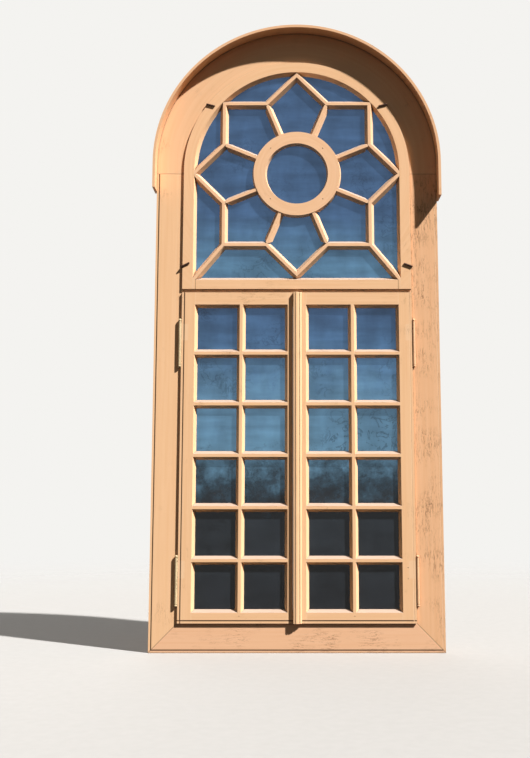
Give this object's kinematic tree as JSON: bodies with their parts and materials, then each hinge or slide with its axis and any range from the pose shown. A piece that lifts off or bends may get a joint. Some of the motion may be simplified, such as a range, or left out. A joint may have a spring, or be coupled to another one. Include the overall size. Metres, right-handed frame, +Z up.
{
  "type": "arched window",
  "caption": "Arched timber window: casing with a bent drip hood, fixed star-patterned arch light and a pair of outward-opening leaves of small panes on barrel hinges.",
  "frame": {"origin": "on the face of the wall, on the middle line, in the middle of the casing's width below the sill, 20 mm above the casing's lower edge", "axes": "+X to the right as seen from outside, +Y through the wall into the room, +Z up"},
  "size_m": [0.8846, 0.142, 1.9122],
  "materials": {
    "painted_wood": "old satin oil paint",
    "glass": "clear",
    "painted_iron": "painted over with the wood",
    "bare_iron": "dull"
  },
  "bodies": {
    "frame": {"casing_left": "painted_wood", "casing_right": "painted_wood", "casing_bottom": "painted_wood", "casing_arch": "painted_wood", "hood": "painted_wood", "jamb_left": "painted_wood", "jamb_right": "painted_wood", "sill": "painted_wood", "transom": "painted_wood", "head_arch": "painted_wood", "light_rail": "painted_wood", "light_stile_left": "painted_wood", "light_stile_right": "painted_wood", "light_arch": "painted_wood", "rosette_ring": "painted_wood", "star_bars": "painted_wood", "star_spokes": "painted_wood", "star_spurs": "painted_wood", "light_panes": "glass", "light_nails": "bare_iron", "hinge_left_low_frame": "painted_iron", "hinge_left_high_frame": "painted_iron", "hinge_right_low_frame": "painted_iron", "hinge_right_high_frame": "painted_iron", "hinge_left_low_pin": "painted_iron", "hinge_left_high_pin": "painted_iron", "hinge_right_low_pin": "painted_iron", "hinge_right_high_pin": "painted_iron"},
    "left_leaf": {"left_stile_outer": "painted_wood", "left_stile_meeting": "painted_wood", "left_rail_top": "painted_wood", "left_rail_bottom": "painted_wood", "left_bar_upright": "painted_wood", "left_bars_across": "painted_wood", "left_panes": "glass", "hinge_left_low_leaf": "painted_iron", "hinge_left_high_leaf": "painted_iron", "bolt_low_plate": "bare_iron", "bolt_high_plate": "bare_iron", "catch_keeper": "bare_iron"},
    "right_leaf": {"right_stile_outer": "painted_wood", "right_stile_meeting": "painted_wood", "right_rail_top": "painted_wood", "right_rail_bottom": "painted_wood", "right_bar_upright": "painted_wood", "right_bars_across": "painted_wood", "cover_strip": "painted_wood", "right_panes": "glass", "hinge_right_low_leaf": "painted_iron", "hinge_right_high_leaf": "painted_iron", "catch_plate": "bare_iron"},
    "low_bolt": {"bolt_low_rod": "bare_iron"},
    "high_bolt": {"bolt_high_rod": "bare_iron"},
    "catch": {"catch_lever": "bare_iron"}
  },
  "joints": [
    {"name": "left_leaf_swing", "type": "hinge", "parent": "frame", "child": "left_leaf", "pos_m": [-0.355, -0.03, 0.538], "axis": [0, 0, -1], "range_deg": [0, 165]},
    {"name": "right_leaf_swing", "type": "hinge", "parent": "frame", "child": "right_leaf", "pos_m": [0.355, -0.03, 0.538], "axis": [0, 0, 1], "range_deg": [0, 165]},
    {"name": "low_bolt_slide", "type": "slide", "parent": "left_leaf", "child": "low_bolt", "axis": [0, 0, -1], "range_m": [0, 0.012]},
    {"name": "high_bolt_slide", "type": "slide", "parent": "left_leaf", "child": "high_bolt", "axis": [0, 0, 1], "range_m": [0, 0.012]},
    {"name": "catch_turn", "type": "hinge", "parent": "right_leaf", "child": "catch", "pos_m": [0.01325, 0.017, 0.63], "axis": [0, 1, 0], "range_deg": [0, 90]}
  ]
}
